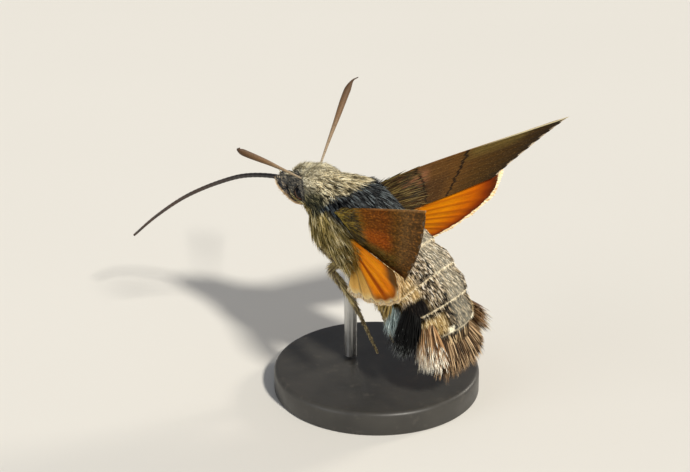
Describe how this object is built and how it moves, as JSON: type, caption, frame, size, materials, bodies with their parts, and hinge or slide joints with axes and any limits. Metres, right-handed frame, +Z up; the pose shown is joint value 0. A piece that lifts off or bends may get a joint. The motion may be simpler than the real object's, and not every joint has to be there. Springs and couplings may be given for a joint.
{
  "type": "life-size hummingbird hawk moth model on a display stand",
  "caption": "Furry day-flying moth with clubbed feelers, a long tongue, raised wings and a tufted tail, held level over a round base by one rod.",
  "frame": {"origin": "centre of the underside of the display stand's base", "axes": "+Z up; the moth faces -Y and its left side is +X"},
  "size_m": [0.0318, 0.0455, 0.0294],
  "materials": {
    "thorax_scales": "matt",
    "head_scales": "matt",
    "abdomen_scales": "matt",
    "tail_scales": "matt",
    "palp_scales": "matt",
    "eye": "gloss",
    "feeler": "satin",
    "tongue": "satin",
    "forewing": "matt",
    "hindwing": "matt",
    "leg": "matt",
    "stand_base": "satin",
    "stand_rod": "satin"
  },
  "bodies": {
    "root": {"thorax": "thorax_scales", "head": "head_scales", "abdomen": "abdomen_scales", "tail_tuft": "tail_scales", "proboscis": "tongue", "stand_base": "stand_base", "stand_rod": "stand_rod", "eye_left": "eye", "palp_left": "palp_scales", "antenna_left": "feeler", "forewing_left": "forewing", "hindwing_left": "hindwing", "foreleg_left": "leg", "midleg_left": "leg", "hindleg_left": "leg", "eye_right": "eye", "palp_right": "palp_scales", "antenna_right": "feeler", "forewing_right": "forewing", "hindwing_right": "hindwing", "foreleg_right": "leg", "midleg_right": "leg", "hindleg_right": "leg"}
  },
  "joints": []
}
